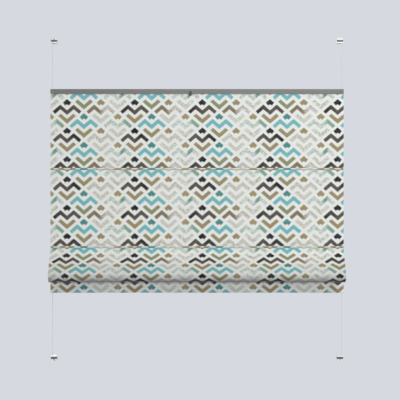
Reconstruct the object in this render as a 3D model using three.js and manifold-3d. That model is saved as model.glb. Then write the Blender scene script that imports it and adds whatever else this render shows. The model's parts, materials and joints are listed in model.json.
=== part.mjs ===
// Folding fabric blind held on a window sash by two taut cords and four clamps.
// Millimetres. +Z up, -Y towards the room, +X to the right when seen from the room.
// The origin is on the sash's top edge, in the plane of its room-side face, midway across.

import * as THREE from 'three';
import { mergeVertices } from 'three/addons/utils/BufferGeometryUtils.js';
import Module from 'manifold-3d';

const wasm = await Module();
wasm.setup();

// ---- driving dimensions ----

const blindWidth = 1000;
const sashHeight = 1089;
const sashThickness = 18;
const gap = 0.3; // between separate pieces that touch

const cordRadius = 0.6;
const cordInset = 6; // from the blind's side edge to the cord
const cordDepth = 10; // from the sash's face to the cord
const cordClearance = 0.5;

const railDrop = 168.4; // sash's top edge to the rail's top
const railHeight = 16.4;
const railDepth = 18;
const railBack = 6; // sash's face to the rail's back
const railWall = 1.3;
const railCapLength = 11.7;

const clothThickness = 0.6;
const clothSetback = 3.2; // rail's front to the middle of the cloth
const firstPanelDrop = 256.7; // rail's underside to the first rod
const secondPanelDrop = 266.5; // first rod to the second
const gatheredDrop = 22; // second rod to the third, gathered up behind the fold
const foldDrop = 114.5; // second rod to the fold's lowest point
const foldReach = 80; // how far the fold stands out of the cloth's plane
const skirtDrop = 133; // third rod to the blind's lower edge
const hemHeight = 24;
const hemRadius = 3.1;

const rodRadius = 2;
const rodDepth = 14; // sash's face to the rods
const sliderLength = 16;
const sliderHeight = 6.4;
const rodSocketDepth = 7;

const bottomBarHeight = 18;
const bottomBarThickness = 3.8;

const clampWidth = 22;
const clampOverhang = 0.4; // clamp's outer side inside the blind's side edge
const housingWidth = 16.5;
const housingHeight = 7.5;
const housingFront = 9;
const housingBack = 9;
const frontPlateHeight = 11;
const frontPlateThickness = 4;
const shoeHeight = 4.8;
const shoeFront = 14;
const lockWidth = 21;
const jawArmWidth = 12;
const jawArmHeight = 4.5;
const jawLegWidth = 18;
const jawLegThickness = 2.5;
const jawLegHeight = 10;
const padThickness = 0.9;

const screwRadius = 1.25;
const screwHeadRadius = 2.8;
const screwHeadLength = 1.9;
const screwLength = 12;

const springLength = 60;
const springRadius = 2.2;
const springWireRadius = 0.35;
const springTurns = 9;

const gripWidth = 7;
const gripHeight = 14.3;
const gripThickness = 2;
const gripOffset = -22; // sideways from the middle
const gripBelowRail = 5.8;

// ---- places worked out from them ----

const halfWidth = blindWidth / 2;
const cordX = halfWidth - cordInset;
const cordY = -cordDepth;
const rodY = -rodDepth;
const holeRadius = cordRadius + cordClearance;

const railTop = -railDrop;
const railBottom = railTop - railHeight;
const railRearY = -railBack;
const railFrontY = railRearY - railDepth;
const capStart = halfWidth - railCapLength;

const clothY = railFrontY + clothSetback;
const clothFrontY = clothY - clothThickness / 2;
const clothRearY = clothY + clothThickness / 2;

const rodHeights = [
  railBottom - firstPanelDrop,
  railBottom - firstPanelDrop - secondPanelDrop,
  railBottom - firstPanelDrop - secondPanelDrop - gatheredDrop,
];
const blindBottom = rodHeights[2] - skirtDrop;

const sliderStart = halfWidth - 1 - sliderLength;
const rodEnd = sliderStart + rodSocketDepth - gap;
const clampX = halfWidth - clampOverhang - clampWidth / 2;
const screwZ = housingHeight / 2;

// ---- materials ----

function material(color, roughness, metalness) {
  return new THREE.MeshStandardMaterial({ color, roughness, metalness });
}

const whitePlastic = () => material(0xf1f1ee, 0.45, 0);
const darkPlastic = () => material(0x2c2c2e, 0.55, 0);
const greyPlastic = () => material(0x7c7a79, 0.5, 0);
const railAluminium = () => material(0x807d7d, 0.42, 0.8);
const bareAluminium = () => material(0xc4c6c8, 0.4, 0.9);
const steel = () => material(0xb4b7ba, 0.35, 1);
const rubber = () => material(0x3a3a3b, 0.9, 0);
const glassFibre = () => material(0xe2dfd2, 0.5, 0);
const cordFibre = () => material(0xe6e6e0, 0.85, 0);
const printedCloth = () => material(0xdfdeda, 0.95, 0);

// ---- shape helpers ----

function solid(geometry) {
  const source = geometry.index ? geometry.clone() : geometry;
  source.deleteAttribute('normal');
  source.deleteAttribute('uv');
  const merged = mergeVertices(source, 1e-4);
  const mesh = new wasm.Mesh({
    numProp: 3,
    vertProperties: new Float32Array(merged.attributes.position.array),
    triVerts: new Uint32Array(merged.index.array),
  });
  return new wasm.Manifold(mesh);
}

function geometryOf(manifold) {
  const mesh = manifold.getMesh();
  const geometry = new THREE.BufferGeometry();
  geometry.setAttribute('position', new THREE.BufferAttribute(mesh.vertProperties, 3));
  geometry.setIndex(new THREE.BufferAttribute(mesh.triVerts, 1));
  geometry.computeVertexNormals();
  return geometry;
}

function join(...geometries) {
  return geometryOf(geometries.map(solid).reduce((whole, piece) => whole.add(piece)));
}

function cut(geometry, ...tools) {
  return geometryOf(tools.map(solid).reduce((rest, tool) => rest.subtract(tool), solid(geometry)));
}

function block([x0, x1], [y0, y1], [z0, z1]) {
  const geometry = new THREE.BoxGeometry(x1 - x0, y1 - y0, z1 - z0);
  return geometry.translate((x0 + x1) / 2, (y0 + y1) / 2, (z0 + z1) / 2);
}

function uprightCylinder(radius, x, y, [z0, z1], sides = 16) {
  const geometry = new THREE.CylinderGeometry(radius, radius, z1 - z0, sides);
  return geometry.rotateX(Math.PI / 2).translate(x, y, (z0 + z1) / 2);
}

function crosswiseCylinder(radius, [x0, x1], y, z, sides = 16) {
  const geometry = new THREE.CylinderGeometry(radius, radius, x1 - x0, sides);
  return geometry.rotateZ(Math.PI / 2).translate((x0 + x1) / 2, y, z);
}

function forwardCylinder(radius, x, [y0, y1], z, sides = 16) {
  return new THREE.CylinderGeometry(radius, radius, y1 - y0, sides).translate(x, (y0 + y1) / 2, z);
}

// A section drawn in (y, z) and drawn out along X.
const sectionToWorld = new THREE.Matrix4().makeBasis(
  new THREE.Vector3(0, 1, 0),
  new THREE.Vector3(0, 0, 1),
  new THREE.Vector3(1, 0, 0),
);

function sectionAlongX(shape, [x0, x1], curveSegments = 8) {
  const options = { depth: x1 - x0, bevelEnabled: false, curveSegments };
  return new THREE.ExtrudeGeometry(shape, options).applyMatrix4(sectionToWorld).translate(x0, 0, 0);
}

// The outline of a thin layer of cloth that follows a line in (y, z).
function layerOutline(line, thickness, steps) {
  const near = [];
  const far = [];
  for (let i = 0; i <= steps; i += 1) {
    const point = line.getPointAt(i / steps);
    const along = line.getTangentAt(i / steps);
    const across = new THREE.Vector2(-along.y, along.x).multiplyScalar(thickness / 2);
    near.push(point.clone().add(across));
    far.unshift(point.clone().sub(across));
  }
  return new THREE.Shape([...near, ...far]);
}

const blind = new THREE.Group();

function add(name, geometry, surface, parent = blind) {
  const mesh = new THREE.Mesh(geometry, surface);
  mesh.name = name;
  parent.add(mesh);
  return mesh;
}

const sides = [['left', -1], ['right', 1]];

// ---- clamps ----
// Each is drawn round its own origin: the sash's edge, in the plane of its room-side face, with
// the clamp's housing above. A lower clamp is the same piece turned over.

function clampBracket() {
  const plate = block(
    [-clampWidth / 2, clampWidth / 2],
    [-frontPlateThickness, 0],
    [-frontPlateHeight, housingHeight / 2],
  );
  const housing = block(
    [-housingWidth / 2, housingWidth / 2],
    [-housingFront, housingBack],
    [0, housingHeight],
  );
  const armHalf = jawArmWidth / 2 + gap;
  const channel = block(
    [-armHalf, armHalf],
    [-frontPlateThickness - 1, housingBack + 1],
    [screwZ - jawArmHeight / 2 - gap, screwZ + jawArmHeight / 2 + gap],
  );
  const headSeat = -housingFront + screwHeadLength + 0.2 + gap;
  const headRecess = forwardCylinder(screwHeadRadius + gap, 0, [-housingFront - 1, headSeat], screwZ);
  const screwHole = forwardCylinder(screwRadius + gap, 0, [-housingFront - 1, 0], screwZ);
  return cut(join(plate, housing), channel, headRecess, screwHole);
}

function clampJaw() {
  const legFront = sashThickness + padThickness + gap;
  const armTop = screwZ + jawArmHeight / 2;
  const arm = block(
    [-jawArmWidth / 2, jawArmWidth / 2],
    [-frontPlateThickness - 1 + gap, legFront + jawLegThickness],
    [screwZ - jawArmHeight / 2, armTop],
  );
  const leg = block(
    [-jawLegWidth / 2, jawLegWidth / 2],
    [legFront, legFront + jawLegThickness],
    [-jawLegHeight, armTop],
  );
  const thread = forwardCylinder(screwRadius + gap, 0, [-frontPlateThickness - 2, screwLength], screwZ);
  return cut(join(arm, leg), thread);
}

function clampScrew() {
  const headFront = -housingFront + 0.2;
  const profile = [
    new THREE.Vector2(0, 0),
    new THREE.Vector2(screwHeadRadius - 0.3, 0),
    new THREE.Vector2(screwHeadRadius, 0.3),
    new THREE.Vector2(screwHeadRadius, screwHeadLength),
    new THREE.Vector2(screwRadius, screwHeadLength),
    new THREE.Vector2(screwRadius, screwHeadLength + screwLength - 0.6),
    new THREE.Vector2(screwRadius - 0.5, screwHeadLength + screwLength),
    new THREE.Vector2(0, screwHeadLength + screwLength),
  ];
  const turned = new THREE.LatheGeometry(profile, 16).translate(0, headFront, screwZ);
  const keyDepth = 1.2;
  const key = forwardCylinder(1.3, 0, [headFront - 1, headFront + keyDepth], screwZ, 6);
  return cut(turned, key);
}

function clampPad() {
  const half = jawLegWidth / 2 - 1.5;
  return block([-half, half], [sashThickness, sashThickness + padThickness], [1 - jawLegHeight, -1]);
}

function cordShoe(cordOffset) {
  const body = block(
    [-clampWidth / 2, clampWidth / 2],
    [-shoeFront, -frontPlateThickness - gap],
    [-frontPlateHeight, -frontPlateHeight + shoeHeight],
  );
  const hole = uprightCylinder(holeRadius, cordOffset, cordY, [-frontPlateHeight - 1, 0], 12);
  return cut(body, hole);
}

function cordLock(cordOffset) {
  const body = block(
    [-lockWidth / 2, lockWidth / 2],
    [-shoeFront + 2.5, -frontPlateThickness - gap],
    [-frontPlateHeight + shoeHeight + gap, -gap],
  );
  const hole = uprightCylinder(holeRadius, cordOffset, cordY, [-frontPlateHeight, 1], 12);
  return cut(body, hole);
}

function addClamp(name, side, isLower) {
  const group = new THREE.Group();
  group.position.set(side * clampX, 0, isLower ? -sashHeight : 0);
  group.rotation.y = isLower ? Math.PI : 0;
  const cordOffset = (isLower ? -side : side) * (cordX - clampX);
  add(`${name}_bracket`, clampBracket(), whitePlastic(), group);
  add(`${name}_jaw`, clampJaw(), whitePlastic(), group);
  add(`${name}_screw`, clampScrew(), steel(), group);
  add(`${name}_pad`, clampPad(), rubber(), group);
  add(`${name}_cord_shoe`, cordShoe(cordOffset), whitePlastic(), group);
  add(`${name}_cord_lock`, cordLock(cordOffset), darkPlastic(), group);
  blind.add(group);
}

for (const [sideName, side] of sides) {
  addClamp(`top_${sideName}_clamp`, side, false);
  addClamp(`bottom_${sideName}_clamp`, side, true);
}

// ---- cords ----

for (const [sideName, side] of sides) {
  const cord = uprightCylinder(cordRadius, side * cordX, cordY, [1 - sashHeight, -1], 8);
  add(`tension_cord_${sideName}`, cord, cordFibre());
}

// ---- top rail ----

function railProfile() {
  const slotFront = clothY - 1;
  const slotBack = clothY + 1;
  const innerFront = railFrontY + railWall;
  const innerBack = railRearY - railWall;
  const innerTop = railTop - railWall;
  const innerBottom = railBottom + railWall;
  const section = new THREE.Shape([
    new THREE.Vector2(slotFront, railBottom),
    new THREE.Vector2(slotFront, innerBottom),
    new THREE.Vector2(innerFront, innerBottom),
    new THREE.Vector2(innerFront, innerTop),
    new THREE.Vector2(innerBack, innerTop),
    new THREE.Vector2(innerBack, innerBottom),
    new THREE.Vector2(slotBack, innerBottom),
    new THREE.Vector2(slotBack, railBottom),
    new THREE.Vector2(railRearY, railBottom),
    new THREE.Vector2(railRearY, railTop),
    new THREE.Vector2(railFrontY, railTop),
    new THREE.Vector2(railFrontY, railBottom),
  ]);
  return sectionAlongX(section, [-capStart + gap, capStart - gap]);
}

const bushOuterRadius = holeRadius + 1.3;

function railCap(side) {
  const place = (near, far) => (side > 0 ? [near, far] : [-far, -near]);
  const cap = block(place(capStart, halfWidth), [railFrontY, railRearY], [railBottom, railTop]);
  const tongue = block(
    place(capStart - 8, capStart + 1),
    [railFrontY + railWall + gap, railFrontY + railWall + 7],
    [railTop - railWall - 7, railTop - railWall - gap],
  );
  const hole = uprightCylinder(
    bushOuterRadius + gap,
    side * cordX,
    cordY,
    [railBottom - 1, railTop + 1],
    12,
  );
  return cut(join(cap, tongue), hole);
}

function cordBush(x, [z0, z1]) {
  const tube = uprightCylinder(bushOuterRadius, x, cordY, [z0, z1], 12);
  return cut(tube, uprightCylinder(holeRadius, x, cordY, [z0 - 1, z1 + 1], 12));
}

const crossingCordHeights = [railTop - 6, railBottom + 6];
const crossingCordY = (railFrontY + railRearY) / 2 + 3;

class SpringLine extends THREE.Curve {
  constructor(startX, height) {
    super();
    this.startX = startX;
    this.height = height;
  }

  getPoint(t, target = new THREE.Vector3()) {
    const turn = t * springTurns * 2 * Math.PI;
    return target.set(
      this.startX + t * springLength,
      crossingCordY + springRadius * Math.cos(turn),
      this.height + springRadius * Math.sin(turn),
    );
  }
}

function coilSpring(startX, height) {
  const wire = new THREE.Shape().absarc(0, 0, springWireRadius, 0, 2 * Math.PI);
  const line = new SpringLine(startX, height);
  return new THREE.ExtrudeGeometry(wire, {
    steps: springTurns * 10,
    extrudePath: line,
    curveSegments: 5,
  });
}

function gripTab() {
  const x = [gripOffset - gripWidth / 2, gripOffset + gripWidth / 2];
  const bottom = railBottom - gripBelowRail;
  const plate = block(x, [railFrontY - gap - gripThickness, railFrontY - gap], [bottom, bottom + gripHeight]);
  const lip = block(x, [railFrontY - gap - 1, railFrontY + 1.6], [railBottom - gap - 2, railBottom - gap]);
  return join(plate, lip);
}

add('top_rail_profile', railProfile(), railAluminium());
for (const [sideName, side] of sides) {
  add(`top_rail_cap_${sideName}`, railCap(side), greyPlastic());
  add(`top_rail_bush_${sideName}`, cordBush(side * cordX, [railBottom, railTop]), whitePlastic());
}
crossingCordHeights.forEach((height, i) => {
  const name = i === 0 ? 'upper' : 'lower';
  const reach = [-capStart + 2, capStart - 2];
  const startX = i === 0 ? -springLength * 3 : springLength * 2;
  add(`crossing_cord_${name}`, crosswiseCylinder(cordRadius, reach, crossingCordY, height, 8), cordFibre());
  add(`cord_spring_${name}`, coilSpring(startX, height), steel());
});
const weltBottom = railBottom + railWall + gap;
add(
  'fabric_welt',
  block([-capStart + 10, capStart - 10], [clothY - 1.6, clothY + 1.6], [weltBottom, weltBottom + 3]),
  whitePlastic(),
);
add('grip_tab', gripTab(), darkPlastic());

// ---- cloth ----

function flatPanel(top, bottom) {
  return block([-halfWidth, halfWidth], [clothFrontY, clothRearY], [bottom, top]);
}

// The upper panel's top edge goes up through the rail's slot, between the rail's caps.
function upperPanel() {
  const reach = [-capStart + 2, capStart - 2];
  const edge = block(reach, [clothFrontY, clothRearY], [railBottom - 2, railBottom + railWall]);
  return join(flatPanel(railBottom - gap, rodHeights[0] + gap), edge);
}

// The fold leaves the second rod, stands out to a rounded front edge and turns back to the third
// rod. Each point is a share of the fold's reach and of its drop.
function foldLine() {
  const end = (gatheredDrop - 3 * gap) / foldDrop;
  const shares = [
    [0, gap / foldDrop],
    [0.17, 0.21],
    [0.41, 0.37],
    [0.65, 0.53],
    [0.83, 0.68],
    [0.95, 0.84],
    [0.99, 0.93],
    [0.965, 0.98],
    [0.9, 0.995],
    [0.8, 0.955],
    [0.42, (1 + end) / 2],
    [0.03, end],
  ];
  const place = ([out, down]) =>
    new THREE.Vector2(clothY - out * foldReach, rodHeights[1] - down * foldDrop);
  return new THREE.SplineCurve(shares.map(place));
}

function skirt() {
  const hemCentre = new THREE.Vector2(clothFrontY + hemRadius, blindBottom + hemRadius);
  const hemBackY = hemCentre.x + hemRadius;
  const inner = hemRadius - clothThickness;
  const top = rodHeights[2] - 2 * gap - clothThickness;
  const section = new THREE.Shape();
  section.moveTo(clothFrontY, top);
  section.lineTo(clothFrontY, hemCentre.y);
  section.absarc(hemCentre.x, hemCentre.y, hemRadius, Math.PI, 2 * Math.PI, false);
  section.lineTo(hemBackY, blindBottom + hemHeight);
  section.lineTo(hemBackY - clothThickness, blindBottom + hemHeight);
  section.lineTo(hemBackY - clothThickness, hemCentre.y);
  section.absarc(hemCentre.x, hemCentre.y, inner, 2 * Math.PI, Math.PI, true);
  section.lineTo(clothRearY, top);
  const sheet = sectionAlongX(section, [-halfWidth, halfWidth]);
  const notches = sides.map(([, side]) => {
    const near = side > 0 ? bottomBarEnd + gap : -halfWidth - 1;
    const far = side > 0 ? halfWidth + 1 : -bottomBarEnd - gap;
    return block([near, far], [clothRearY, 0], [blindBottom - 1, blindBottom + hemHeight + 1]);
  });
  return cut(sheet, ...notches);
}

const bottomBarEnd = halfWidth - 12;

function rodPocket(height) {
  const reach = clothRearY + gap;
  const outer = rodRadius + gap + clothThickness;
  const inner = rodRadius + gap;
  const section = new THREE.Shape();
  section.moveTo(reach, height + clothThickness);
  section.lineTo(reach, height - clothThickness);
  section.lineTo(rodY - outer, height - clothThickness);
  section.absarc(rodY, height, outer, Math.PI * 1.2, Math.PI * 0.8, false);
  section.lineTo(rodY - outer, height + clothThickness);
  const hole = new THREE.Path();
  hole.absarc(rodY, height, inner, 0, 2 * Math.PI, true);
  section.holes.push(hole);
  return sectionAlongX(section, [-sliderStart + gap, sliderStart - gap]);
}

add('fabric_panel_upper', upperPanel(), printedCloth());
add('fabric_panel_middle', flatPanel(rodHeights[0] - gap, rodHeights[1] + gap), printedCloth());
add(
  'fabric_fold',
  sectionAlongX(layerOutline(foldLine(), clothThickness, 48), [-halfWidth, halfWidth]),
  printedCloth(),
);
add('fabric_skirt', skirt(), printedCloth());

// ---- rods and their sliders ----

function rodSlider(side, height) {
  const place = (near, far) => (side > 0 ? [near, far] : [-far, -near]);
  const body = block(
    place(sliderStart, sliderStart + sliderLength),
    [rodY - 3, railRearY - 1],
    [height - sliderHeight / 2, height + sliderHeight / 2],
  );
  const socket = crosswiseCylinder(
    rodRadius + gap,
    place(sliderStart - 1, sliderStart + rodSocketDepth),
    rodY,
    height,
  );
  const ends = [height - sliderHeight, height + sliderHeight];
  const hole = uprightCylinder(holeRadius, side * cordX, cordY, ends, 12);
  return cut(body, socket, hole);
}

rodHeights.forEach((height, i) => {
  const number = i + 1;
  add(`rod_${number}`, crosswiseCylinder(rodRadius, [-rodEnd, rodEnd], rodY, height), glassFibre());
  add(`rod_pocket_${number}`, rodPocket(height), printedCloth());
  for (const [sideName, side] of sides) {
    add(`rod_${number}_slider_${sideName}`, rodSlider(side, height), whitePlastic());
  }
});

// ---- bottom bar ----

const barMiddleY = clothFrontY + hemRadius;
const barBottom = blindBottom + hemRadius - 0.6;
const barTop = barBottom + bottomBarHeight;
const barSides = [barMiddleY - bottomBarThickness / 2, barMiddleY + bottomBarThickness / 2];

function bottomBarCap(side) {
  const place = (near, far) => (side > 0 ? [near, far] : [-far, -near]);
  const start = bottomBarEnd + 2 * gap;
  const body = block(
    place(start, halfWidth - 1),
    [barSides[0], railRearY - 1],
    [barBottom, barTop],
  );
  const hole = uprightCylinder(
    bushOuterRadius + gap,
    side * cordX,
    cordY,
    [barBottom - 1, barTop + 1],
    12,
  );
  return cut(body, hole);
}

add('bottom_bar', block([-bottomBarEnd, bottomBarEnd], barSides, [barBottom, barTop]), bareAluminium());
for (const [sideName, side] of sides) {
  add(`bottom_bar_cap_${sideName}`, bottomBarCap(side), whitePlastic());
  add(`bottom_bar_bush_${sideName}`, cordBush(side * cordX, [barBottom, barTop]), whitePlastic());
}

export default blind;
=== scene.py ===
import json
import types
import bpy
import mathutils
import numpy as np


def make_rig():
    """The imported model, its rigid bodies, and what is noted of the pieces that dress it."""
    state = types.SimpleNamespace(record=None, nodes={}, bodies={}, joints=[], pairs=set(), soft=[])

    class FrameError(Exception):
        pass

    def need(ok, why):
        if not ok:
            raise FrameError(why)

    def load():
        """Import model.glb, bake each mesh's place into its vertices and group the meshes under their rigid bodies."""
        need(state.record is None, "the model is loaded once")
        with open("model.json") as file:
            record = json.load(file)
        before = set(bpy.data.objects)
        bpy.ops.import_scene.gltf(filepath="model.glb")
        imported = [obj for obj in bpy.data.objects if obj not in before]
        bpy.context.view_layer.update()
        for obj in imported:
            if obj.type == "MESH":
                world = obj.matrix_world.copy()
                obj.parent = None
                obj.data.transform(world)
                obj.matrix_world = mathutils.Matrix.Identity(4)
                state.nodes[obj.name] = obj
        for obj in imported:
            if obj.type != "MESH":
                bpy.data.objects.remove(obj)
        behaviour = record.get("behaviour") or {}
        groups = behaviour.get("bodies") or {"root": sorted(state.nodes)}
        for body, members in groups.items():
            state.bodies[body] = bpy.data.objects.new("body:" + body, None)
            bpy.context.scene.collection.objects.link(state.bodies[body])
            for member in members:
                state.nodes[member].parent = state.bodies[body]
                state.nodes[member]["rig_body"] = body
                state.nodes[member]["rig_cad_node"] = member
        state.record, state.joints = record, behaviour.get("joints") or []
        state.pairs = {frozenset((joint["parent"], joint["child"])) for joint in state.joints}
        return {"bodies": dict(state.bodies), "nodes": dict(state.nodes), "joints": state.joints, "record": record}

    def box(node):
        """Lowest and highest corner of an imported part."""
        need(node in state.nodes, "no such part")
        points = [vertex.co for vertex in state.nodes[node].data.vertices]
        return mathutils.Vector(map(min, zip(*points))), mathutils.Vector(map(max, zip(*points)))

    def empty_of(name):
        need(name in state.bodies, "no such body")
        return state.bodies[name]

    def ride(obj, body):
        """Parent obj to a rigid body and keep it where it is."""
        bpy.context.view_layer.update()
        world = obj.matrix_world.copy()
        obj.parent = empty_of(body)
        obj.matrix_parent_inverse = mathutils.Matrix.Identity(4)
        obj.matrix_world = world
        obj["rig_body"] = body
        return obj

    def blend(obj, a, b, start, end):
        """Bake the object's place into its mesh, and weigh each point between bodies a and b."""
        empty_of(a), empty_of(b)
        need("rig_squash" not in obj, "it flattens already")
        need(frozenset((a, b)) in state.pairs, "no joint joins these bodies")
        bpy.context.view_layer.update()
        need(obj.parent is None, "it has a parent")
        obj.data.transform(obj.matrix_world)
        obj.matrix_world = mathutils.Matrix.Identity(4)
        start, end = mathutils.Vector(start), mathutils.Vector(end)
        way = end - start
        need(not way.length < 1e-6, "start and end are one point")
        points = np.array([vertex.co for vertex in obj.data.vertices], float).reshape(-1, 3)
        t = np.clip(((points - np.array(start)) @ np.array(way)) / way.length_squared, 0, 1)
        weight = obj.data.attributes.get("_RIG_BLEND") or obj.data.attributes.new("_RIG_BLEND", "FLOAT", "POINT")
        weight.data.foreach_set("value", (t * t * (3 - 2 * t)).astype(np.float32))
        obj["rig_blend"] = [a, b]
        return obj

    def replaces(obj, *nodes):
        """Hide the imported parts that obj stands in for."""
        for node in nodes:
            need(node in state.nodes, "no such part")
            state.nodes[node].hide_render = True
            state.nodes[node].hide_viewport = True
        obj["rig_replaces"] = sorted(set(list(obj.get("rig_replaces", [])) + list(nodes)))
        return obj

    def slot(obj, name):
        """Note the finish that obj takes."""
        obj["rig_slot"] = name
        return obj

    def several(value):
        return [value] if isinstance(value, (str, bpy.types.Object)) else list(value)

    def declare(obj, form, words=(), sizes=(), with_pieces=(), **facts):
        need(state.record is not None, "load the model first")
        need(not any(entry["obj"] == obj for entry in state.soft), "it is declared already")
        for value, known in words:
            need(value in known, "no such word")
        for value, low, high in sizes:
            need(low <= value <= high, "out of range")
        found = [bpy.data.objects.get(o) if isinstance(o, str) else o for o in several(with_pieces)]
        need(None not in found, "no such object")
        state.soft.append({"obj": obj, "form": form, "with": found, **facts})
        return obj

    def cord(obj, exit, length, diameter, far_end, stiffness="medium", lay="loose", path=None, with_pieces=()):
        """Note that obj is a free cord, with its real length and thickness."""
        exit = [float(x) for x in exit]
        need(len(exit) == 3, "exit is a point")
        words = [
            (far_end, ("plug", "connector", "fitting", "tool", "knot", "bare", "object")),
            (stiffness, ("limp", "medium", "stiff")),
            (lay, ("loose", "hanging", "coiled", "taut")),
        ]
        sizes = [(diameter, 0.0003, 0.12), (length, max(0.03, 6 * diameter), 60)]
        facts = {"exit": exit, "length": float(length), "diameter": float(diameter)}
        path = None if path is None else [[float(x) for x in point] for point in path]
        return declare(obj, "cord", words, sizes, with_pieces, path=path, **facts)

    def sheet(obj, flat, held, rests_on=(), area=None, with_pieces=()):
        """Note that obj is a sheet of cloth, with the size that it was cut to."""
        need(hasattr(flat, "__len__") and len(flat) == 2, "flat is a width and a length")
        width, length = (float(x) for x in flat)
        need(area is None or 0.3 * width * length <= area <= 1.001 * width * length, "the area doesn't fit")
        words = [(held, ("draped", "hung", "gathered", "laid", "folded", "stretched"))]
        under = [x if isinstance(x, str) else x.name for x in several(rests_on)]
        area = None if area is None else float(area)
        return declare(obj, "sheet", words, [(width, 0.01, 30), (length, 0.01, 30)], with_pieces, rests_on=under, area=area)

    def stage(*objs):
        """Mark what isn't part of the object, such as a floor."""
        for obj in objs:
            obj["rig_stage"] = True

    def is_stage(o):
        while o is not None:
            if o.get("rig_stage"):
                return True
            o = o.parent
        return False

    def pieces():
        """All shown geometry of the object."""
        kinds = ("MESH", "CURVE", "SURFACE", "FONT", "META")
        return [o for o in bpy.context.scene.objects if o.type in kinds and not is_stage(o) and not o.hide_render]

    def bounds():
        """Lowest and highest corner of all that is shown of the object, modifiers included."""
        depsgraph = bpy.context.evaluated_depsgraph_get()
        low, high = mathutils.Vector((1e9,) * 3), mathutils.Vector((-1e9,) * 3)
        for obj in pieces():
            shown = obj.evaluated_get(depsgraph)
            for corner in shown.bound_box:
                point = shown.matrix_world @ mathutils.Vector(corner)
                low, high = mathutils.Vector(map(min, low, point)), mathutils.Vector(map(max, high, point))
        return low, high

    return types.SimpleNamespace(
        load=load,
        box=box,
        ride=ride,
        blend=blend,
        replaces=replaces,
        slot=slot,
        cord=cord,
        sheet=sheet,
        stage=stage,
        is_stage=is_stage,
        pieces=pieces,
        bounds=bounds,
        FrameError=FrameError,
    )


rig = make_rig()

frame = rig.load()
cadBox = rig.bounds()

import json
import math

import bmesh
import bpy
from mathutils import Matrix, Vector, noise

mm = 0.001
slotOf = {part["node"]: part["material_slot"] for part in frame["record"]["subparts"]}


def rampUp(value, low, high):
    # 0 up to low, 1 from high on
    return min(max((value - low) / (high - low), 0), 1)


# places that everything hangs from
clothLow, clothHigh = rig.box("fabric_panel_middle")
clothY = clothLow.lerp(clothHigh, 0.5).y
halfWidth = clothHigh.x
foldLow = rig.box("fabric_fold")[0]
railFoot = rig.box("top_rail_profile")[0].z
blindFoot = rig.box("fabric_skirt")[0].z
rodBoxes = [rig.box(f"rod_{number}") for number in (1, 2, 3)]
rodPlaces = [(low + high) / 2 for low, high in rodBoxes]
seamHeights = [place.z for place in rodPlaces]

camera = dict(distance=4.8, frameWidth=1.364, aimX=0.0101, aimZ=-0.5466, sensor=36.0)


def addCamera():
    data = bpy.data.cameras.new("camera")
    data.sensor_width = camera["sensor"]
    data.lens = camera["sensor"] * camera["distance"] / camera["frameWidth"]
    data.clip_end = 60
    eye = bpy.data.objects.new("camera", data)
    eye.location = (camera["aimX"], clothY - camera["distance"], camera["aimZ"])
    eye.rotation_euler = (math.radians(90), 0, 0)
    bpy.context.scene.collection.objects.link(eye)
    bpy.context.scene.camera = eye
    bpy.context.scene.view_settings.view_transform = "Standard"


addCamera()

cordPoints = 18


def addCord(node, name, along):
    # a taut cord on the line of its node, along x or z
    low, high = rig.box(node)
    middle = (low + high) / 2
    radius = (high.y - low.y) / 2
    start, end = middle.copy(), middle.copy()
    axis = "xyz".index(along)
    start[axis], end[axis] = high[axis], low[axis]
    curve = bpy.data.curves.new(name, "CURVE")
    curve.dimensions = "3D"
    curve.bevel_depth = 1.0  # times each point's radius
    curve.bevel_resolution = 3
    curve.use_fill_caps = True
    line = curve.splines.new("POLY")
    line.points.add(cordPoints - 1)
    for i, point in enumerate(line.points):
        point.co = (*start.lerp(end, i / (cordPoints - 1)), 1)
        point.radius = radius
    piece = bpy.data.objects.new(name, curve)
    bpy.context.scene.collection.objects.link(piece)
    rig.ride(piece, "clamps" if along == "z" else "top_rail")
    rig.replaces(piece, node)
    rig.slot(piece, "cord")
    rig.cord(
        piece, exit=tuple(start), length=(end - start).length, diameter=2 * radius,
        far_end="object", stiffness="limp", lay="taut",
    )
    return piece


cords = [
    addCord("tension_cord_left", "sideCordLeft", "z"),
    addCord("tension_cord_right", "sideCordRight", "z"),
    addCord("crossing_cord_upper", "crossingCordUpper", "x"),
    addCord("crossing_cord_lower", "crossingCordLower", "x"),
]
print("cords")


def paint(red, green, blue):
    # screen values from 0 to 255 as the linear colour a shader wants
    def linear(value):
        share = value / 255
        return share / 12.92 if share <= 0.04045 else ((share + 0.055) / 1.055) ** 2.4

    return (linear(red), linear(green), linear(blue), 1.0)


class Signal:
    # a number that runs through a node tree, so that a pattern can be written as a sum
    def __init__(self, tree, socket):
        self.tree = tree
        self.socket = socket

    def through(self, operation, *others, clamp=False):
        node = self.tree.nodes.new("ShaderNodeMath")
        node.operation = operation
        node.use_clamp = clamp
        for place, value in enumerate((self, *others)):
            if isinstance(value, Signal):
                self.tree.links.new(value.socket, node.inputs[place])
            else:
                node.inputs[place].default_value = value
        return Signal(self.tree, node.outputs[0])

    def __add__(self, other):
        return self.through("ADD", other)

    def __sub__(self, other):
        return self.through("SUBTRACT", other)

    def __mul__(self, other):
        return self.through("MULTIPLY", other)

    def size(self):
        return self.through("ABSOLUTE")

    def least(self, other):
        return self.through("MINIMUM", other)

    def most(self, other):
        return self.through("MAXIMUM", other)

    def odd(self):
        return self.through("FLOORED_MODULO", 2.0)

    def share(self, low, high):
        # 0 up to low, 1 from high on
        return ((self - low) * (1 / (high - low))).through("ADD", 0.0, clamp=True)

    def inside(self, softness):
        # 1 inside an edge, 0 outside it, for a distance that is positive inside
        return self.share(-softness / 2, softness / 2)


def newMaterial(name):
    material = bpy.data.materials.new(name)
    material.use_nodes = True
    tree = material.node_tree
    return material, tree, tree.nodes["Principled BSDF"]


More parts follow.
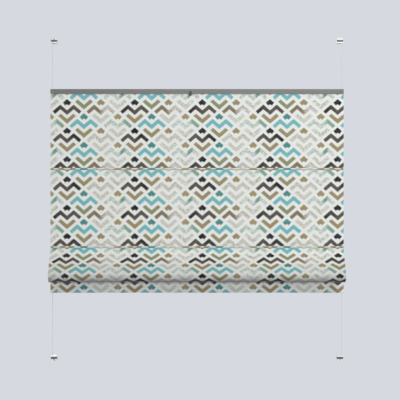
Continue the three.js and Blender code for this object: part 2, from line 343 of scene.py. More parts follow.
def plug(tree, socket, value):
    if isinstance(value, Signal):
        tree.links.new(value.socket, socket)
    elif isinstance(value, bpy.types.NodeSocket):
        tree.links.new(value, socket)
    else:
        socket.default_value = value


def mixColour(tree, amount, first, second):
    node = tree.nodes.new("ShaderNodeMix")
    node.data_type = "RGBA"
    for place, value in ((0, amount), (6, first), (7, second)):
        plug(tree, node.inputs[place], value)
    return node.outputs[2]


def combine(tree, x, y, z):
    node = tree.nodes.new("ShaderNodeCombineXYZ")
    for place, value in enumerate((x, y, z)):
        plug(tree, node.inputs[place], value)
    return node.outputs[0]


def noiseAt(tree, vector, scale, detail=2.0, roughness=0.5):
    node = tree.nodes.new("ShaderNodeTexNoise")
    node.inputs["Scale"].default_value = scale
    node.inputs["Detail"].default_value = detail
    node.inputs["Roughness"].default_value = roughness
    tree.links.new(vector, node.inputs["Vector"])
    return Signal(tree, node.outputs["Fac"])


def bumpFrom(tree, shader, height, strength, distance):
    node = tree.nodes.new("ShaderNodeBump")
    node.inputs["Strength"].default_value = strength
    node.inputs["Distance"].default_value = distance
    tree.links.new(height.socket, node.inputs["Height"])
    tree.links.new(node.outputs[0], shader.inputs["Normal"])


def objectPlace(tree, stretch=(1, 1, 1)):
    where = tree.nodes.new("ShaderNodeTexCoord")
    mapping = tree.nodes.new("ShaderNodeMapping")
    mapping.inputs["Scale"].default_value = stretch
    tree.links.new(where.outputs["Object"], mapping.inputs["Vector"])
    return mapping.outputs[0]


def mouldedPlastic(name, colour, roughness, wornColour):
    # fine spark texture, with faint clouding in the colour
    material, tree, shader = newMaterial(name)
    grain = noiseAt(tree, objectPlace(tree), 2600, 3.0, 0.6)
    cloud = noiseAt(tree, objectPlace(tree), 90, 3.0)
    plug(tree, shader.inputs["Base Color"], mixColour(tree, cloud.share(0.35, 0.75), colour, wornColour))
    plug(tree, shader.inputs["Roughness"], grain * 0.16 + (roughness - 0.08))
    bumpFrom(tree, shader, grain, 0.25, 0.00006)
    return material


def drawnMetal(name, colour, lineColour, roughness, metallic, stretch, lineScale):
    # long fine die lines, along the axis with the smallest stretch
    material, tree, shader = newMaterial(name)
    lines = noiseAt(tree, objectPlace(tree, stretch), lineScale, 4.0, 0.7)
    cloud = noiseAt(tree, objectPlace(tree), 60, 2.0)
    amount = (lines * 0.75 + cloud * 0.25).share(0.38, 0.64)
    plug(tree, shader.inputs["Base Color"], mixColour(tree, amount, colour, lineColour))
    plug(tree, shader.inputs["Roughness"], lines * 0.2 + (roughness - 0.1))
    shader.inputs["Metallic"].default_value = metallic
    bumpFrom(tree, shader, lines, 0.3, 0.00004)
    return material


def softRubber(name):
    material, tree, shader = newMaterial(name)
    grain = noiseAt(tree, objectPlace(tree), 1500, 4.0, 0.65)
    plug(tree, shader.inputs["Base Color"], mixColour(tree, grain, paint(40, 40, 41), paint(58, 58, 58)))
    shader.inputs["Roughness"].default_value = 0.85
    bumpFrom(tree, shader, grain, 0.4, 0.00008)
    return material


def pulledGlassFibre(name):
    material, tree, shader = newMaterial(name)
    strands = noiseAt(tree, objectPlace(tree, (4, 900, 900)), 1.0, 3.0, 0.6)
    colour = mixColour(tree, strands.share(0.35, 0.7), paint(226, 222, 204), paint(242, 240, 232))
    plug(tree, shader.inputs["Base Color"], colour)
    shader.inputs["Roughness"].default_value = 0.35
    bumpFrom(tree, shader, strands, 0.3, 0.00005)
    return material


def braidedCord(name):
    # two sets of strands that cross at a slant
    material, tree, shader = newMaterial(name)
    parts = tree.nodes.new("ShaderNodeSeparateXYZ")
    tree.links.new(objectPlace(tree, (1000, 1000, 1000)), parts.inputs[0])
    x, y, z = (Signal(tree, socket) for socket in parts.outputs)
    one = ((x + y + z) * 5.2).through("SINE")
    other = ((x + y - z) * 5.2).through("SINE")
    strands = one.most(other)
    colour = mixColour(tree, strands.share(-0.6, 0.9), paint(188, 190, 192), paint(226, 227, 226))
    plug(tree, shader.inputs["Base Color"], colour)
    shader.inputs["Roughness"].default_value = 0.8
    bumpFrom(tree, shader, strands, 0.5, 0.00012)
    return material


finishes = {
    "white_plastic": mouldedPlastic("white plastic", paint(243, 244, 245), 0.42, paint(234, 235, 234)),
    "dark_plastic": mouldedPlastic("dark plastic", paint(52, 51, 52), 0.5, paint(70, 69, 69)),
    "grey_plastic": mouldedPlastic("grey plastic", paint(118, 117, 116), 0.6, paint(126, 125, 124)),
    "rail_aluminium": drawnMetal(
        "anodised rail", paint(116, 115, 114), paint(128, 127, 126), 0.6, 0.05, (2, 700, 700), 1.0
    ),
    "bare_aluminium": drawnMetal(
        "mill aluminium", paint(178, 180, 183), paint(205, 206, 208), 0.4, 0.85, (3, 500, 500), 1.0
    ),
    "steel": drawnMetal("steel", paint(172, 174, 177), paint(206, 207, 209), 0.32, 0.95, (1, 0.2, 1), 900),
    "rubber": softRubber("rubber"),
    "glass_fibre": pulledGlassFibre("glass fibre rod"),
    "cord": braidedCord("braided cord"),
}
for cord in cords:
    cord.data.materials.append(finishes["cord"])
print("materials: hard parts")

# The print is two interleaved rows of cells. Every cell holds a notched diamond over an M over a V.
# Lengths in the pattern are millimetres, measured sideways and down the flat cloth.

printPattern = dict(
    cellWidth=115.35,
    cellHeight=97.0,
    firstColumn=-443.3,
    firstRow=29.0,  # from the rail's underside down to the first row of diamonds
    slope=0.86,
    strokeHeight=15.8,
    diamondCrown=(-11.4, 0.84),  # edges of the motifs: height at the middle, and fall per mm sideways
    diamondSide=(18.6, -1.24),
    diamondNotch=(6.4, 0.72),
    zigzagTop=7.6,
    zigzagPeak=22.7,
    zigzagEnd=(87.4, -1.17),
    chevronTop=56.8,
    chevronEnd=(20.6, 0.84),
    chevronInk=((50.0, -0.86), (12.3, 0.85)),  # below both of these lines the chevron's colour shows
    rowStart=0.13,  # share of a cell that hangs over the row above
    edgeSoftness=1.2,
    edgeWander=2.2,
    wanderScale=0.12,
    thread=0.62,
    threadTone=0.35,
    ground=paint(229, 231, 229),
    black=paint(26, 30, 32),
    umber=paint(84, 77, 68),
    darkUmber=paint(40, 39, 37),
    teal=paint(72, 136, 134),
    blue=paint(112, 180, 184),
    tan=paint(152, 137, 101),
    olive=paint(136, 141, 104),
    khaki=paint(148, 139, 101),
    straw=paint(158, 144, 102),
    bark=paint(128, 114, 89),
    sand=paint(146, 134, 106),
    fawn=paint(134, 120, 96),
    sage=paint(128, 164, 146),
    paleSage=paint(128, 162, 142),
    deepGreen=paint(66, 128, 108),
    pale=paint(158, 156, 132),
)


def motifShapes(du, dv):
    # distances inside the diamond, the M and the V, and how far a point is across its stroke
    p = printPattern
    m = du.size()

    def below(edge):
        return dv - (m * edge[1] + edge[0])

    def above(edge):
        return m * edge[1] + edge[0] - dv

    diamond = below(p["diamondCrown"]).least(above(p["diamondSide"])).least(above(p["diamondNotch"]))
    acrossM = dv - ((m - p["zigzagPeak"]).size() * p["slope"] + p["zigzagTop"])
    zigzag = acrossM.least(acrossM * -1.0 + p["strokeHeight"]).least(above(p["zigzagEnd"]))
    acrossV = dv + m * p["slope"] - p["chevronTop"]
    chevron = acrossV.least(acrossV * -1.0 + p["strokeHeight"]).least(below(p["chevronEnd"]))
    return diamond, zigzag, chevron, acrossM, acrossV


def motifGrid(tree, u, v, columnOffset, rowOffset, colours):
    # one of the two interleaved grids: where its ink is, its colour, and how much ground shows through
    p = printPattern
    across = (u - columnOffset) * (1 / p["cellWidth"])
    column = across.through("ROUND")
    du = (across - column) * p["cellWidth"]
    down = (v - rowOffset) * (1 / p["cellHeight"])
    row = (down + p["rowStart"]).through("FLOOR")
    dv = (down - row) * p["cellHeight"]
    oddColumn, oddRow = column.odd(), row.odd()
    diamond, zigzag, chevron, acrossM, acrossV = motifShapes(du, dv)
    left = du * -1.0

    upperEdge, sideEdge = (dv - (du.size() * fall + middle) for middle, fall in p["chevronInk"])
    onV = upperEdge.least(sideEdge).inside(0.4)
    acrossStroke = acrossM + onV * (acrossV - acrossM)
    grainPlace = combine(tree, du * 0.05, acrossStroke * 0.36, row * 5.1 + column * 3.7)
    grain = noiseAt(tree, grainPlace, 1.0, 3.0, 0.65)
    speckle = noiseAt(tree, combine(tree, u * 0.2, v * 0.27, rowOffset), 1.0, 3.0, 0.8)

    # strong columns: one arm of each M is darker, the other one on the next row
    evenDark = left.share(*colours["evenDark"])
    oddDark = du.share(*colours["oddDark"])
    strongM = mixColour(
        tree, evenDark + oddRow * (oddDark - evenDark), colours["strongBase"], colours["strongDark"]
    )
    # pale columns: solid on one side or in one spot, speckled elsewhere
    evenSolid = du.share(*colours["evenSolid"])
    oddSolid = (du - 16.0).size().share(12.0, 4.0) * colours["spot"]
    solid = evenSolid + oddRow * (oddSolid - evenSolid)
    paleBase = mixColour(tree, oddRow, *colours["paleM"])
    accent = mixColour(tree, oddRow, *colours["paleAccent"])
    paleM = mixColour(tree, solid, paleBase, accent)
    colourM = mixColour(tree, oddColumn, strongM, paleM)
    colourV = mixColour(tree, oddColumn, mixColour(tree, oddRow, *colours["strongV"]), p["pale"])
    colourDiamond = mixColour(tree, oddColumn, *colours["diamonds"])
    onDiamond = diamond.inside(p["edgeSoftness"])
    colour = mixColour(tree, onV, colourM, colourV)
    colour = mixColour(tree, (diamond + 1.5).inside(1.0), colour, colourDiamond)
    ink = onDiamond.most(zigzag.inside(p["edgeSoftness"])).most(chevron.inside(p["edgeSoftness"]))

    held = onDiamond.most(solid * (onV * -1.0 + 1.0))
    broken = (held * -1.0 + 1.0) * oddColumn
    strength = broken * (speckle.share(0.43, 0.63) * 0.9 - 0.88) + 1.0
    streaks = grain.share(0.45, 0.8) * 0.16
    return ink * strength, colour, streaks


def printedCloth(name, inkStrength, ground):
    p = printPattern
    material, tree, shader = newMaterial(name)
    uv = tree.nodes.new("ShaderNodeUVMap")
    uv.uv_map = "cloth"
    parts = tree.nodes.new("ShaderNodeSeparateXYZ")
    tree.links.new(uv.outputs[0], parts.inputs[0])
    u = Signal(tree, parts.outputs[0]) * 1000.0
    v = Signal(tree, parts.outputs[1]) * 1000.0

    # printed edges wander a little
    flat = combine(tree, u, v, 0.0)
    wanderedU = u + (noiseAt(tree, flat, p["wanderScale"], 2.0) - 0.5) * p["edgeWander"]
    flatAgain = combine(tree, u, v, 40.0)
    wanderedV = v + (noiseAt(tree, flatAgain, p["wanderScale"], 2.0) - 0.5) * p["edgeWander"]

    lower = dict(
        evenDark=(6, 34), oddDark=(2, 18), strongBase=p["umber"], strongDark=p["darkUmber"],
        evenSolid=(12.0, -6.0), spot=0.0, paleM=(p["fawn"], p["sand"]), paleAccent=(p["bark"], p["bark"]),
        diamonds=(p["black"], p["tan"]), strongV=(p["tan"], p["tan"]),
    )
    upper = dict(
        evenDark=(90, 99), oddDark=(90, 99), strongBase=p["blue"], strongDark=p["blue"],
        evenSolid=(14.0, 24.0), spot=0.8, paleM=(p["paleSage"], p["paleSage"]),
        paleAccent=(p["sage"], p["deepGreen"]),
        diamonds=(p["teal"], p["straw"]), strongV=(p["khaki"], p["olive"]),
    )

    # woven threads: a plain weave with uneven yarns
    warp = (u * (2 * math.pi / p["thread"])).through("SINE")
    weft = (v * (2 * math.pi / p["thread"])).through("SINE")
    slub = noiseAt(tree, combine(tree, u * 0.02, v * 1.4, 7.0), 1.0, 2.0)
    slubDown = noiseAt(tree, combine(tree, u * 1.4, v * 0.02, 3.0), 1.0, 2.0)
    height = warp * weft * 0.5 + slub * 0.8 + slubDown * 0.8
    threadTone = (slub + slubDown).share(0.85, 1.5) * p["threadTone"]
    colour = mixColour(tree, threadTone, ground, paint(206, 200, 186))

    half = p["cellWidth"] / 2
    for columnOffset, rowOffset, colours in (
        (p["firstColumn"], 0.0, lower),
        (p["firstColumn"] + half, p["cellHeight"] / 2, upper),
    ):
        ink, inkColour, streaks = motifGrid(tree, wanderedU, wanderedV, columnOffset, rowOffset, colours)
        grained = mixColour(tree, streaks, inkColour, p["ground"])
        colour = mixColour(tree, ink * inkStrength, colour, grained)

    # painted shade: the cloth's colour is mixed towards a dark brown by the fold's painted shade attribute
    layered = tree.nodes.new("ShaderNodeAttribute")
    layered.attribute_name = "layered"
    colour = mixColour(tree, Signal(tree, layered.outputs["Fac"]), colour, paint(38, 36, 33))
    plug(tree, shader.inputs["Base Color"], colour)
    shader.inputs["Roughness"].default_value = 0.92
    shader.inputs["Specular IOR Level"].default_value = 0.15
    bumpFrom(tree, shader, height, 0.3, 0.00016)
    return material


clothFace = printedCloth("printed cloth face", 1.0, printPattern["ground"])
clothBack = printedCloth("printed cloth back", 0.2, paint(226, 226, 222))
print("materials: cloth")

clothSheet = dict(
    thickness=0.6 * mm,
    columns=120,  # faces across the width
    step=4.0 * mm,  # length of a face down the cloth
    ripple=0.9 * mm,
    rippleScale=(3.1, 7.3),  # waves per metre across and down
    beadRadius=2.3 * mm,  # the sewn bead round a rod, seen from the front
    beadOut=0.9 * mm,  # how far its middle stands in front of the cloth
    beadRise=1.2 * mm,
    tucked=28.5 * mm,  # cloth taken up by each rod's pocket
    sideHem=15 * mm,
    hemInset=0.4 * mm,
    hemGap=0.05 * mm,  # between the cloth and the side hem behind it
    pocketInset=1 * mm,
)


def outlineOf(points, shift):
    # the same line moved sideways by a distance, to its left as it runs
    moved = []
    for i, (y, z, length) in enumerate(points):
        before, after = points[max(i - 1, 0)], points[min(i + 1, len(points) - 1)]
        run = Vector((after[0] - before[0], after[1] - before[1])).normalized()
        moved.append((y - run.y * shift, z + run.x * shift, length))
    return moved


def sweepCloth(name, line, ripple=None, strips=None, facing=-1):
    # line: (y, z, length down the flat cloth) from the top edge to the bottom one
    # ripple: (heights where the cloth is held, seed); strips: (from x, to x) of each strip
    c = clothSheet
    mesh = bmesh.new()
    down = mesh.verts.layers.float.new("down")
    for start, end in strips or [(-halfWidth, halfWidth)]:
        columns = max(3, round(c["columns"] * (end - start) / (2 * halfWidth)))
        chain = []
        for y, z, length in line:
            vert = mesh.verts.new((start, y, z))
            vert[down] = length
            chain.append(vert)
        edges = [mesh.edges.new(pair) for pair in zip(chain, chain[1:])]
        for _ in range(columns):
            made = bmesh.ops.extrude_edge_only(mesh, edges=edges)["geom"]
            verts = [part for part in made if isinstance(part, bmesh.types.BMVert)]
            edges = [part for part in made if isinstance(part, bmesh.types.BMEdge)]
            bmesh.ops.translate(mesh, verts=verts, vec=((end - start) / columns, 0, 0))
    uv = mesh.loops.layers.uv.new("cloth")
    for edge in mesh.edges:
        edge.smooth = not edge.is_boundary
    for face in mesh.faces:
        face.smooth = True
        for loop in face.loops:
            loop[uv].uv = (loop.vert.co.x, loop.vert[down])
    if ripple:
        top, bottom, seed = ripple
        for vert in mesh.verts:
            share = rampUp(vert.co.z, bottom, top)
            across, along = c["rippleScale"]
            wander = noise.noise(Vector((vert.co.x * across, vert.co.z * along, seed)))
            vert.co.y += c["ripple"] * math.sin(math.pi * share) ** 0.7 * wander
    # the printed side faces the room
    mesh.normal_update()
    if sum(face.normal.y * face.calc_area() for face in mesh.faces) * facing < 0:
        bmesh.ops.reverse_faces(mesh, faces=mesh.faces)
    data = bpy.data.meshes.new(name)
    mesh.to_mesh(data)
    mesh.free()
    piece = bpy.data.objects.new(name, data)
    bpy.context.scene.collection.objects.link(piece)
    data.materials.append(clothFace)
    data.materials.append(clothBack)
    wall = piece.modifiers.new("wall", "SOLIDIFY")
    wall.thickness = c["thickness"]
    wall.offset = 0
    wall.material_offset = 1
    wall.material_offset_rim = 1
    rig.slot(piece, "printed_cloth")
    return piece


def straightLine(y, top, bottom, length):
    steps = max(2, round((top - bottom) / clothSheet["step"]))
    heights = [top + (bottom - top) * i / steps for i in range(steps + 1)]
    return [(y, z, length(z)) for z in heights]


def lengthFrom(reference, offset):
    return lambda z: offset + (reference - z)


def addSideHem(name, line, ripple, bodies, start, end, facing=-1):
    # the cloth turned over at both side edges and sewn down behind
    c = clothSheet
    edge = halfWidth - c["hemInset"]
    strips = [(-edge, -edge + c["sideHem"]), (edge - c["sideHem"], edge)]
    behind = outlineOf(line, c["thickness"] + c["hemGap"])
    piece = sweepCloth(name, behind, ripple, strips, facing)
    piece.data.materials[0] = clothBack
    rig.blend(piece, *bodies, start, end)
    return piece, line[-1][2] - line[0][2]


printStart = railFoot - printPattern["firstRow"] * mm
lengthUpper = lengthFrom(printStart, 0.0)
seamLengths = [lengthUpper(seamHeights[0])]  # where each seam falls on the flat cloth
lengthMiddle = lengthFrom(seamHeights[0], seamLengths[0] + clothSheet["tucked"])
seamLengths.append(lengthMiddle(seamHeights[1]))


seamTurn = dict(
    down=1.5 * mm,  # the roll into the seam above a bead
    back=1.4 * mm,
    aboveBead=1.7 * mm,
    under=((1.7, 1.8), (1.2, 2.5), (0.6, 3.6), (0.2, 5.0)),  # (behind, below) under a bead, in mm
    flatFrom=6.6 * mm,
    intoRail=1.2 * mm,
)


def rollIn(y, z, length):
    # the last few millimetres above a bead, where the cloth turns back into the seam
    turn = []
    for i in range(1, 6):
        angle = math.radians(90) * i / 5
        height = z - seamTurn["down"] * math.sin(angle)
        turn.append((y + seamTurn["back"] * (1 - math.cos(angle)), height, length(height)))
    return turn


def comeOut(y, z, length):
    # the first few millimetres under a bead, where the cloth comes out of the seam
    return [
        (y + out * mm, z - drop * mm, length(z - drop * mm))
        for out, drop in seamTurn["under"]
    ]


def addPanel(names, top, seam, length, underBead, bodies, seed, turnOut=None):
    # turnOut: the length under the top edge that bends when the cloth folds; all of the upper half if none
    c = clothSheet
    middle = (top + seam) / 2
    turned = top - turnOut if turnOut else middle
    start = comeOut(clothY, top, length) if underBead else []
    flatTop = top - seamTurn["flatFrom"] if underBead else top
    upperLine = start + straightLine(clothY, flatTop, middle, length)
    foot = seam + c["beadRise"] + c["beadRadius"] + seamTurn["aboveBead"]
    lowerLine = straightLine(clothY, middle, foot, length) + rollIn(clothY, foot, length)
    made = []
    for name, line, pair, edge, end, bent in (
        (names[0], upperLine, bodies[:2], top, middle, turned),
        (names[1], lowerLine, bodies[1:], middle, seam, seam),
    ):
        piece = sweepCloth(name, line, (top, seam, seed))
        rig.blend(piece, *pair, (0, clothY, edge), (0, clothY, bent))
        rests = "fabric_welt" if pair[0] == "top_rail" else names[0] if end == seam else pair[0]
        hemPiece, hemLength = addSideHem(
            f"{name}SideHem", line, (top, seam, seed), pair, (0, clothY, edge), (0, clothY, bent)
        )
        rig.sheet(piece, flat=(2 * halfWidth, edge - end), held="hung", rests_on=[rests])
        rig.sheet(hemPiece, flat=(2 * c["sideHem"], hemLength), held="hung", rests_on=[piece])
        made.append(piece)
    return made


upperPieces = addPanel(
    ("upperClothTop", "upperClothFoot"), railFoot + seamTurn["intoRail"], seamHeights[0], lengthUpper, False,
    ("top_rail", "fold_1", "rod_1"), 3.1, turnOut=48 * mm,
)
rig.replaces(upperPieces[0], "fabric_panel_upper")
middlePieces = addPanel(
    ("middleClothTop", "middleClothFoot"), seamHeights[0], seamHeights[1], lengthMiddle, True,
    ("rod_1", "fold_2", "rod_2"), 8.4,
)
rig.replaces(middlePieces[0], "fabric_panel_middle")
print("cloth: flat panels")


def smoothLine(points, steps):
    # an even line through given points, each stretch a Bezier with its neighbours' slope
    fine = []
    for i in range(len(points) - 1):
        before = points[max(i - 1, 0)]
        after = points[min(i + 2, len(points) - 1)]
        start, end = points[i], points[i + 1]
        for step in range(steps):
            t = step / steps
            first = start + (end - before) / 6
            second = end - (after - start) / 6
            fine.append(
                start * (1 - t) ** 3 + first * 3 * t * (1 - t) ** 2
                + second * 3 * t * t * (1 - t) + end * t**3
            )
    fine.append(points[-1])
    return fine


def measured(points, start):
    # (y, z, length) for a line of points, its length counted on from start
    line, total = [], start
    for i, point in enumerate(points):
        if i:
            total += (point - points[i - 1]).length
        line.append((point.x, point.y, total))
    return line


fold = dict(
    frontLength=150 * mm,
    eased=18 * mm,  # extra cloth eased into the lip
    out=(0.17, 0.41, 0.65, 0.85, 0.975, 1.0, 0.975, 0.906, 0.805, 0.738, 0.606, 0.36, 0.03),
    down=(0.2, 0.35, 0.487, 0.617, 0.739, 0.817, 0.894, 0.957, 0.993, 1.0, 0.975, 0.6, 0.19),
    lip=10,  # the lowest point, counted with the seam
    easedFrom=0.3,  # share of the way down where that cloth begins
    seamBack=(1.7 * mm, 1.8 * mm),  # where the front leaves the seam: behind the cloth, below the rod
    footBack=2.4 * mm,
    steps=8,  # faces between two points of the outline
    tone=0.13,  # painted shade: how much darker the fold's cloth is made in its base colour
    toneFrom=0.4,
    toneFull=0.55,
    lipTone=0.52,  # and how much more painted shade at the lip, where the cloth turns under
    lipToneFrom=0.6,
)


def paintShadeOnFold(piece):
    # painted shade: the fold's cloth is darkened in its base colour from partway down, most at the lip where it turns
    # under
    shade = piece.data.attributes.new("layered", "FLOAT", "POINT")
    for vert, item in zip(piece.data.vertices, shade.data):
        drop = (seamHeights[1] - vert.co.z) / (seamHeights[1] - foldLow.z)
        begun = rampUp(drop, fold["toneFrom"], fold["toneFull"])
        late = rampUp(drop, fold["lipToneFrom"], 1)
        item.value = fold["tone"] * begun + fold["lipTone"] * late * late


def addFold():
    wall = clothSheet["thickness"] / 2
    reach = clothY - foldLow.y - wall
    drop = seamHeights[1] - foldLow.z - wall
    seamFoot = Vector((clothY + fold["seamBack"][0], seamHeights[1] - fold["seamBack"][1]))
    points = [seamFoot] + [
        Vector((clothY - out * reach, seamHeights[1] - down * drop))
        for out, down in zip(fold["out"], fold["down"])
    ]
    points[-1].x = clothY + fold["footBack"]
    smooth = smoothLine(points, fold["steps"])
    lip = fold["lip"] * fold["steps"]
    raw = measured(smooth[: lip + 1], 0.0)
    run = raw[-1][2]
    start = seamLengths[1] + clothSheet["tucked"]
    front = []
    for y, z, along in raw:
        late = rampUp(along / run, fold["easedFrom"], 1)
        length = start + along / run * fold["frontLength"] + fold["eased"] * late * late
        front.append((y, z, length))
    back = measured(smooth[lip:], front[-1][2])
    lowest = Vector((0, *front[-1][:2]))
    top, foot = (0, *front[0][:2]), (0, *back[-1][:2])
    pieces = []
    for name, line, pair, begin, end, rests in (
        ("foldFront", front, ("rod_2", "fold_3"), top, lowest, "rod_2"),
        ("foldBack", back, ("fold_3", "rod_3"), lowest, foot, "rod_3"),
    ):
        facing = -1 if name == "foldFront" else 1
        piece = sweepCloth(name, line, facing=facing)
        paintShadeOnFold(piece)
        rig.blend(piece, *pair, begin, end)
        hemPiece, hemLength = addSideHem(f"{name}SideHem", line, None, pair, begin, end, facing)
        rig.sheet(piece, flat=(2 * halfWidth, line[-1][2] - line[0][2]), held="folded", rests_on=[rests])
        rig.sheet(hemPiece, flat=(2 * clothSheet["sideHem"], hemLength), held="folded", rests_on=[piece])
        pieces.append(piece)
    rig.replaces(pieces[0], "fabric_fold")
    return front[-1][2]


lipLength = addFold()
print("cloth: fold")

hem = dict(
    height=24 * mm, radius=3.1 * mm, shownShrink=0.9, wave=0.7 * mm, printLift=15 * mm,
    turnSteps=12, backSteps=5, backStep=4 * mm,
)


def addSkirt():
    thickness = clothSheet["thickness"]
    radius = hem["radius"] - thickness / 2
    centreY = clothY + radius
    centreZ = blindFoot + hem["radius"]
    top = seamHeights[2] + clothSheet["beadRise"] - clothSheet["beadRadius"] - 1 * mm

    def length(z):
        hidden = 2 * printPattern["cellHeight"] * mm
        return lipLength - hem["printLift"] + hidden + (foldLow.z - z) / hem["shownShrink"]

    line = straightLine(clothY, top, centreZ, length)
    for i in range(1, hem["turnSteps"] + 1):
        angle = math.pi * i / hem["turnSteps"]
        y = centreY - radius * math.cos(angle)
        z = centreZ - radius * math.sin(angle)
        line.append((y, z, length(centreZ) + radius * angle))
    for i in range(1, hem["backSteps"] + 1):
        z = centreZ + (hem["height"] - hem["radius"]) * i / hem["backSteps"]
        line.append((centreY + radius, z, line[-1][2] + hem["backStep"]))
    piece = sweepCloth("skirtCloth", line)
    for vert in piece.data.vertices:
        low = rampUp(top - vert.co.z, 0, top - blindFoot) ** 2
        wander = noise.noise(Vector((vert.co.x * 23, 0, 5.5)))
        vert.co.z += hem["wave"] * low * wander
        vert.co.y += 0.5 * hem["wave"] * low * noise.noise(Vector((vert.co.x * 9, vert.co.z * 8, 2.2)))
    flat = (top - centreZ) + math.pi * radius + hem["height"] - hem["radius"]
    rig.ride(piece, "rod_3")
    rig.sheet(piece, flat=(2 * halfWidth, flat), held="hung", rests_on=["rod_3"])
    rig.replaces(piece, "fabric_skirt")


addSkirt()


def addPocket(number):
    # the cloth's bead at the seam, with its loop round the rod behind
    c = clothSheet
    place = rodPlaces[number - 1]
    out = clothY - c["beadOut"] if number < 3 else clothY + c["beadRadius"] + c["thickness"]
    middle = place.z + c["beadRise"]
    backRadius = (rodBoxes[number - 1][1].z - rodBoxes[number - 1][0].z) / 2 + c["thickness"]
    points = []
    for y, z, radius, turned in (
        (out, middle, c["beadRadius"], math.radians(90)),
        (place.y, place.z, backRadius, math.radians(-90)),
    ):
        for i in range(17):
            angle = turned + math.pi * i / 16
            points.append(Vector((y + radius * math.cos(angle), z + radius * math.sin(angle))))
    points.append(points[0].copy())
    seam = seamLengths[number - 1] if number < 3 else lipLength
    line = measured(points, seam + (c["tucked"] - math.pi * c["beadRadius"]) / 2)
    edge = halfWidth - c["pocketInset"]
    piece = sweepCloth(f"rodPocket{number}", line, strips=[(-edge, edge)])
    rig.ride(piece, f"rod_{number}")
    run = line[-1][2] - line[0][2]
    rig.sheet(piece, flat=(2 * edge, run), held="stretched", rests_on=[f"rod_{number}"])
    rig.replaces(piece, f"rod_pocket_{number}")


for number in (1, 2, 3):
    addPocket(number)
print("cloth: skirt and pockets")

stitch = dict(
    length=2.6 * mm, pitch=3.6 * mm, thick=0.35 * mm,
    sideMargin=6 * mm, hemMargin=2 * mm, aboveSeam=7.5 * mm,
)


def threadMaterial():
    material, tree, shader = newMaterial("sewing thread")
    twist = noiseAt(tree, objectPlace(tree), 4000, 1.0)
    colour = mixColour(tree, twist, paint(206, 206, 202), paint(232, 232, 229))
    plug(tree, shader.inputs["Base Color"], colour)
    shader.inputs["Roughness"].default_value = 0.75
    bumpFrom(tree, shader, twist, 0.3, 0.00005)
    return material


sewingThread = threadMaterial()


def addStitches(name, y, z, body):
    # a row of short flat loops of thread across the cloth
    s = stitch
    mesh = bmesh.new()
    count = round(2 * (halfWidth - s["sideMargin"]) / s["pitch"])
    for i in range(count):
        x = (i - (count - 1) / 2) * s["pitch"]
        made = bmesh.ops.create_cone(
            mesh, cap_ends=True, segments=6, radius1=s["thick"] / 2, radius2=s["thick"] / 2, depth=s["length"]
        )["verts"]
        tips = [vert for vert in made if abs(vert.co.z) > s["length"] * 0.4]
        bmesh.ops.scale(mesh, verts=tips, vec=(0.6, 0.6, 1))
        bmesh.ops.rotate(mesh, verts=made, matrix=Matrix.Rotation(math.radians(90), 3, "Y"))
        bmesh.ops.translate(mesh, verts=made, vec=(x, y, z))
    for face in mesh.faces:
        face.smooth = True
    data = bpy.data.meshes.new(name)
    mesh.to_mesh(data)
    mesh.free()
    data.materials.append(sewingThread)
    piece = bpy.data.objects.new(name, data)
    bpy.context.scene.collection.objects.link(piece)
    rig.ride(piece, body)
    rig.slot(piece, "printed_cloth")


clothFront = clothY - clothSheet["thickness"] / 2
addStitches("hemStitches", clothFront, blindFoot + hem["height"] - stitch["hemMargin"], "rod_3")
addStitches("seamStitches1", clothFront, seamHeights[0] + stitch["aboveSeam"], "rod_1")
addStitches("seamStitches2", clothFront, seamHeights[1] + stitch["aboveSeam"], "rod_2")
print("stitches")

easing = dict(
    joinWithin=0.00001,
    flatWithin=math.radians(1),
    sharpFrom=math.radians(50),  # edges at least this sharp are eased
    shadedFrom=math.radians(24),  # and edges at least this sharp stay crisp
    segments=3,
)
bodiesInRecord = frame["record"]["behaviour"]["bodies"]
bodyOf = {node: body for body, nodes in bodiesInRecord.items() for node in nodes}


def finerCopy(node, name, edge):
    # the node's own shape with its loose triangles joined, its flat faces made whole and its edges eased
    mesh = bmesh.new()
    mesh.from_mesh(bpy.data.objects[node].data)
    bmesh.ops.remove_doubles(mesh, verts=mesh.verts, dist=easing["joinWithin"])
    bmesh.ops.dissolve_limit(
        mesh, angle_limit=easing["flatWithin"], verts=mesh.verts, edges=mesh.edges, delimit={"NORMAL"}
    )
    sharp = [
        line for line in mesh.edges
        if len(line.link_faces) == 2 and line.is_convex and line.calc_face_angle() > easing["sharpFrom"]
    ]
    bmesh.ops.bevel(
        mesh, geom=sharp, offset=edge, offset_type="OFFSET", segments=easing["segments"], profile=0.5,
        affect="EDGES", material=-1, clamp_overlap=True,
    )
    for face in mesh.faces:
        face.smooth = True
        face.material_index = 0
    data = bpy.data.meshes.new(name)
    mesh.to_mesh(data)
    mesh.free()
    data.set_sharp_from_angle(angle=easing["shadedFrom"])
    data.materials.clear()
    data.materials.append(finishes[slotOf[node]])
    piece = bpy.data.objects.new(name, data)
    bpy.context.scene.collection.objects.link(piece)
    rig.ride(piece, bodyOf[node])
    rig.replaces(piece, node)
    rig.slot(piece, slotOf[node])


easedEdges = {
    "top_rail_profile": 0.35 * mm,
    "bottom_bar": 0.3 * mm,
    "grip_tab": 0.5 * mm,
}
for side in ("left", "right"):
    easedEdges[f"top_rail_cap_{side}"] = 0.5 * mm
    easedEdges[f"bottom_bar_cap_{side}"] = 0.5 * mm
    for number in (1, 2, 3):
        easedEdges[f"rod_{number}_slider_{side}"] = 0.6 * mm
    for level in ("top", "bottom"):
        clamp = f"{level}_{side}_clamp"
        for part, edge in (("bracket", 0.7), ("cord_shoe", 0.7), ("cord_lock", 0.4), ("jaw", 0.6)):
            easedEdges[f"{clamp}_{part}"] = edge * mm


def pieceName(node):
    first, *rest = node.split("_")
    return "eased" + first.capitalize() + "".join(word.capitalize() for word in rest)


for node, edge in easedEdges.items():
    finerCopy(node, pieceName(node), edge)
print(f"hard parts with eased edges: {len(easedEdges)}")

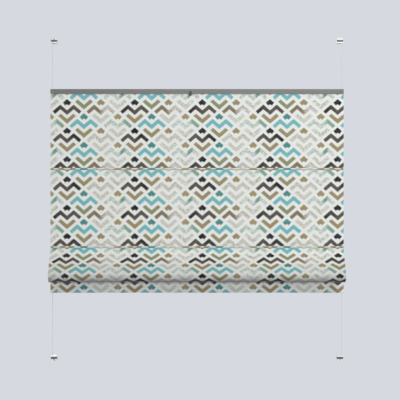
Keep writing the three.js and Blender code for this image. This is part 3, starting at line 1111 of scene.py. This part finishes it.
# the nodes whose CAD shape stays get their finish here
for node, slotName in slotOf.items():
    kept = bpy.data.objects[node]
    if not kept.hide_render:
        kept.data.materials.clear()
        kept.data.materials.append(finishes[slotName])
print("finishes on the other nodes")

room = dict(
    keyPower=89, keyPlace=(1.6, -2.8, 2.05), keySize=(1.6, 1.6),
    frontPower=63, frontPlace=(0.5, -4.3, -0.3), frontSize=(2.0, 1.0),
    backPower=120, backPlace=(-1.6, 3.6, 1.0), backSize=(2.0, 2.0),
    ambient=0.185, backdrop=paint(214, 218, 224), floorHeight=-1.9,
    floorSize=2.2, floorShift=-1.2, lightAim=-0.55,
)


def addFloor():
    mesh = bmesh.new()
    bmesh.ops.create_grid(mesh, x_segments=1, y_segments=1, size=room["floorSize"])
    bmesh.ops.translate(mesh, verts=mesh.verts, vec=(0, room["floorShift"], room["floorHeight"]))
    data = bpy.data.meshes.new("floor")
    mesh.to_mesh(data)
    mesh.free()
    floor = bpy.data.objects.new("floor", data)
    bpy.context.scene.collection.objects.link(floor)
    material, tree, shader = newMaterial("floor")
    shader.inputs["Base Color"].default_value = paint(222, 224, 228)
    shader.inputs["Roughness"].default_value = 0.9
    data.materials.append(material)
    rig.stage(floor)


def addLight(name, place, size, power, colour):
    data = bpy.data.lights.new(name, "AREA")
    data.shape = "RECTANGLE"
    data.size, data.size_y = size
    data.energy = power
    data.color = colour
    lamp = bpy.data.objects.new(name, data)
    lamp.location = place
    aim = Vector((0, 0, room["lightAim"])) - Vector(place)
    lamp.rotation_euler = aim.to_track_quat("-Z", "Y").to_euler()
    bpy.context.scene.collection.objects.link(lamp)


def addWorld():
    # a pale backdrop to look at, and a dimmer even light from all round
    world = bpy.data.worlds.new("room")
    world.use_nodes = True
    tree = world.node_tree
    around = tree.nodes["Background"]
    around.inputs[0].default_value = (0.96, 0.98, 1.0, 1)
    around.inputs[1].default_value = room["ambient"]
    seen = tree.nodes.new("ShaderNodeBackground")
    seen.inputs[0].default_value = room["backdrop"]
    path = tree.nodes.new("ShaderNodeLightPath")
    choice = tree.nodes.new("ShaderNodeMixShader")
    tree.links.new(path.outputs["Is Camera Ray"], choice.inputs[0])
    tree.links.new(around.outputs[0], choice.inputs[1])
    tree.links.new(seen.outputs[0], choice.inputs[2])
    tree.links.new(choice.outputs[0], tree.nodes["World Output"].inputs[0])
    bpy.context.scene.world = world


addFloor()
addLight("key", room["keyPlace"], room["keySize"], room["keyPower"], (1.0, 0.99, 0.97))
addLight("front", room["frontPlace"], room["frontSize"], room["frontPower"], (1.0, 1.0, 1.0))
addLight("back", room["backPlace"], room["backSize"], room["backPower"], (1.0, 1.0, 1.0))
addWorld()
print("floor, lights and backdrop")

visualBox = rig.bounds()
with open("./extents.json", "w") as sizeFile:
    json.dump({"cad": [list(c) for c in cadBox], "visual": [list(c) for c in visualBox]}, sizeFile)
